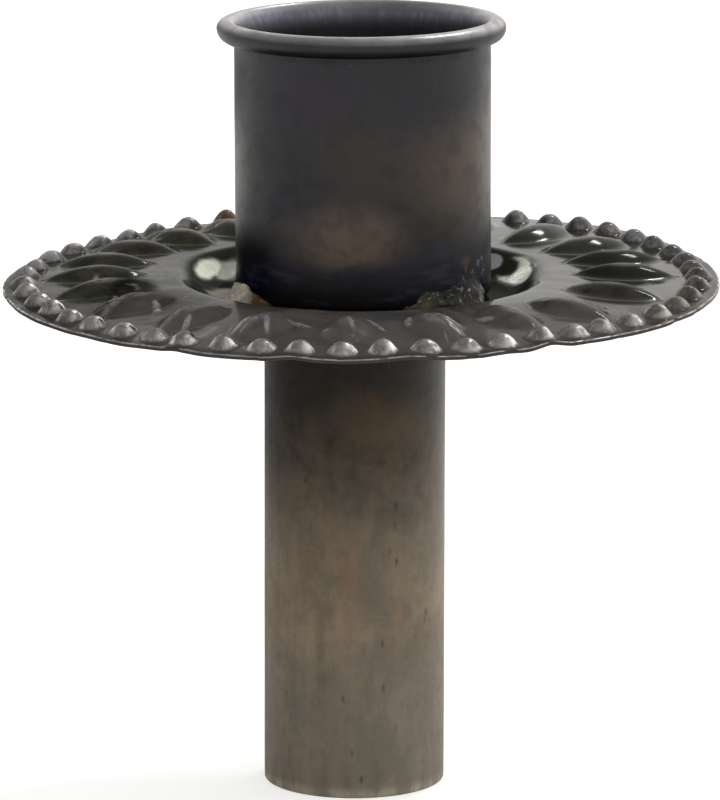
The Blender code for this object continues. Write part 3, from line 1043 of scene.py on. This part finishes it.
def brazeMaterial():
    material, shader, place, apart = startMaterial("brazeCrust")
    across = apart["X"]
    patches, specks, glow = cloudMasks(place, braze["clouds"])
    shade = mixColour(patches, braze["olive"], braze["crust"])
    lumps = times(ramp(across, *braze["lumps"]), between(patches, 0.4, 1.0))
    shade = paint(shade, lumps, braze["brown"])
    soot = times(ramp(apart["Z"], *braze["sootRise"]), ramp(across, *braze["sootSide"]))
    shade = paint(shade, soot, braze["soot"])
    ash = times(ramp(across, *braze["ash"]), patches)
    shade = paint(shade, ash, braze["fleck"], strength=0.25)
    pale = times(ramp(across, *braze["pale"]), between(patches, 0.6, 1.0))
    shade = paint(shade, pale, braze["beige"])
    leftSeam = times(seamMask(apart, *braze["leftSeam"]), 0.8)
    seam = larger(seamMask(apart, *braze["rightSeam"]), leftSeam)
    shade = paint(shade, times(seam, between(glow, 0.3, 1.0)), braze["orange"])
    shade = paint(shade, specks, braze["fleck"], strength=0.6)
    gloss = between(patches, 0.6, 0.4)
    roughness = between(patches, 0.45, 0.75)
    finish = {"Base Color": shade, "Roughness": roughness, "Coat Weight": gloss}
    setFinish(shader, finish, coatRoughness=0.38)
    setBump(shader, mathNode("ADD", specks, patches), distance=0.06, strength=0.8)
    return material


def cupSkin(height):
    centre = cup["bottom"] + cup["corner"] - plate["floor"]
    reach = cup["corner"] - braze["sink"]
    below = min(max(0.0, centre - height), reach)
    return cup["radius"] - cup["corner"] + math.sqrt(reach * reach - below * below)


def tackSection(sizes):
    climb = sizes["climb"]
    foot = -braze["sink"]
    heights = [foot] + spread(foot, climb, braze["rows"])
    inside = [(cupSkin(height), height) for height in heights]
    toe = cup["radius"] + sizes["reach"]
    top = inside[-1][0] + sizes["thin"]
    outside = []
    for height in reversed(heights):
        share = (height - foot) / (climb - foot)
        outside.append((top + (toe - top) * (1 - share) ** sizes["fall"], height))
    return inside + outside


def tackSize(share, sizes):
    peak = sizes["peak"]
    swell = share / peak if share < peak else (1 - share) / (1 - peak)
    size = braze["least"] + (1 - braze["least"]) * ease(swell)
    if "hump" in sizes:
        middle, wide, gain = sizes["hump"]
        size = max(size, gain * ease(1 - abs(share - middle) / wide))
    return size


def makeTack(name, material, sizes):
    foot = -braze["sink"]
    start = math.radians(sizes["start"])
    run = math.radians(sizes["end"] - sizes["start"])
    shape = spinSection(tackSection(sizes), braze["steps"], closed=True, start=frontAngle + start, sweep=run)
    for vert in shape.verts:
        height = vert.co.z / mm
        above = max(0.0, height)
        angle = math.atan2(vert.co.y, vert.co.x)
        size = tackSize(min(1.0, turn(angle - frontAngle, start) % math.tau / run), sizes)
        proud = math.hypot(vert.co.x, vert.co.y) / mm - cupSkin(height)
        lump = unevenness(vert.co, sizes["rough"], *braze["lumpGrain"]) * min(1.0, proud / braze["lumpSkin"])
        torn = unevenness((vert.co.x, vert.co.y, 0), sizes["torn"], *braze["tornGrain"])
        newHeight = foot + (height - foot) * size
        placed = cupSkin(newHeight) + proud * size + lump
        newHeight += torn * (size - braze["least"]) * above + lump * min(1.0, above / braze["lumpFoot"])
        place = (placed * math.cos(angle), placed * math.sin(angle), plate["floor"] + newHeight)
        vert.co = Vector(place) * mm
        vert.co.x += braze["shift"] * cup["shift"] * mm
    addPiece(name, shape, material, sizes["node"])


def makeRing(material):
    inner = tube["radius"] - braze["sink"]
    top = plate["floor"] - plate["sheet"] + braze["sink"]
    leg = braze["ringLeg"]
    hollow = leg * braze["ringHollow"]
    section = [(inner, top), (inner, top - leg)]
    section += arcPoints((inner + leg, top - leg), hollow, hollow, 180, 90, 6)
    section.append((inner + leg, top))
    shape = spinSection(section, braze["ringSteps"], closed=True)
    for vert in shape.verts:
        push = 1 + braze["ringRough"] * wobble(vert.co, *braze["ringGrain"])
        vert.co.x = vert.co.x * push + tube["offset"] * mm
        vert.co.y *= push
    addPiece("tubeBrazeRing", shape, material, "tube_braze_ring")


brazeFinish = brazeMaterial()
for tackName, tackSizes in braze["tacks"].items():
    makeTack(tackName, brazeFinish, tackSizes)
makeRing(brazeFinish)


# studio: floor, light and camera

studio = {
    "floorSize": 4.0,
    "floorColour": (0.8, 0.8, 0.8),
    "floorFill": 0.6,
    "white": (1, 1, 1),
    "lightColour": (1.0, 0.985, 0.94),
    "worldBack": 1.0,
    "worldFront": 0.65,
    "worldLeft": 0.72,
    "worldRight": 1.5,
    "worldTop": 0.5,
    "depthRange": (-0.3, 0.4),  # parts of the view direction between which the light changes
    "sideRange": (-0.35, 0.35),
    "topRange": (0.45, 0.85),
    "backdropRange": (0.35, 0.6),
    "lampTarget": (0, 0, 0.05),
    "lamps": {
        "backRight": {"place": (0.338, 0.585, 0.854), "size": (0.16, 0.07), "power": 1.5},
        "barLeft": {"place": (-0.38, 1.046, 0.5), "size": (0.67, 0.045), "power": 0.3},
    },
}


def makeFloor():
    shape = bmesh.new()
    bmesh.ops.create_grid(shape, x_segments=4, y_segments=4, size=studio["floorSize"] / 2)
    mesh = bpy.data.meshes.new("floor")
    shape.to_mesh(mesh)
    shape.free()
    material = bpy.data.materials.new("floorPaper")
    material.use_nodes = True
    tree = material.node_tree
    shader = tree.nodes["Principled BSDF"]
    path = tree.nodes.new("ShaderNodeLightPath").outputs
    seen = larger(path["Is Camera Ray"], path["Is Glossy Ray"])
    seen = larger(seen, path["Is Transmission Ray"])
    fill(shader, {
        "Base Color": opaque(studio["floorColour"]), "Roughness": 0.9, "Specular IOR Level": 0.0,
        "Emission Color": opaque(studio["white"]), "Emission Strength": times(seen, studio["floorFill"]),
    })
    mesh.materials.append(material)
    floor = bpy.data.objects.new("floor", mesh)
    bpy.context.scene.collection.objects.link(floor)


def makeWorld():
    world = bpy.data.worlds.new("studioWorld")
    bpy.context.scene.world = world
    world.use_nodes = True
    tree = world.node_tree
    background = tree.nodes["Background"]
    path = tree.nodes.new("ShaderNodeLightPath").outputs
    place = tree.nodes.new("ShaderNodeTexCoord").outputs["Generated"]
    direction = put("ShaderNodeSeparateXYZ", {0: place}).outputs
    level = mapRange(direction["Y"], *studio["depthRange"], studio["worldFront"], studio["worldBack"])
    side = mapRange(direction["X"], *studio["sideRange"], studio["worldLeft"], studio["worldRight"])
    above = mapRange(direction["Z"], *studio["topRange"], 1.0, studio["worldTop"])
    level = times(times(level, side), above)
    backdrop = mapRange(direction["Z"], *studio["backdropRange"], 1.0, 0.0)
    shaded = mapRange(direction["X"], *studio["sideRange"], studio["worldLeft"], 1.0)
    mirrored = times(path["Is Glossy Ray"], times(backdrop, shaded))
    seen = larger(path["Is Camera Ray"], path["Is Transmission Ray"])
    strength = larger(level, larger(seen, mirrored))
    fill(background, {"Color": mixColour(seen, studio["lightColour"], studio["white"]), "Strength": strength})


def makeLamps():
    target = Vector(studio["lampTarget"])
    for name, sizes in studio["lamps"].items():
        data = bpy.data.lights.new(name, "AREA")
        data.shape = "RECTANGLE"
        data.size, data.size_y = sizes["size"]
        data.energy = sizes["power"]
        lamp = bpy.data.objects.new(name, data)
        lamp.location = sizes["place"]
        lamp.rotation_euler = (target - Vector(sizes["place"])).to_track_quat("-Z", "Y").to_euler()
        bpy.context.scene.collection.objects.link(lamp)


view = {
    "place": (-0.1, -605.0, 163.0),
    "pitch": 11.62,
    "focalPixels": 6211,
    "framePixels": 800,  # the frame is 720 by 800, so the sensor spans its height
    "sensor": 36.0,
    "clipStart": 0.01,
}


def makeCamera():
    data = bpy.data.cameras.new("photoView")
    data.sensor_width = view["sensor"]
    data.lens = view["focalPixels"] * view["sensor"] / view["framePixels"]
    data.clip_start = view["clipStart"]
    lens = bpy.data.objects.new("photoView", data)
    lens.location = Vector(view["place"]) * mm
    lens.rotation_euler = (math.radians(90 - view["pitch"]), 0, 0)
    bpy.context.scene.collection.objects.link(lens)
    bpy.context.scene.camera = lens


makeFloor()
makeWorld()
makeLamps()
makeCamera()
bpy.context.scene.view_settings.view_transform = "Standard"
print("studio ready")
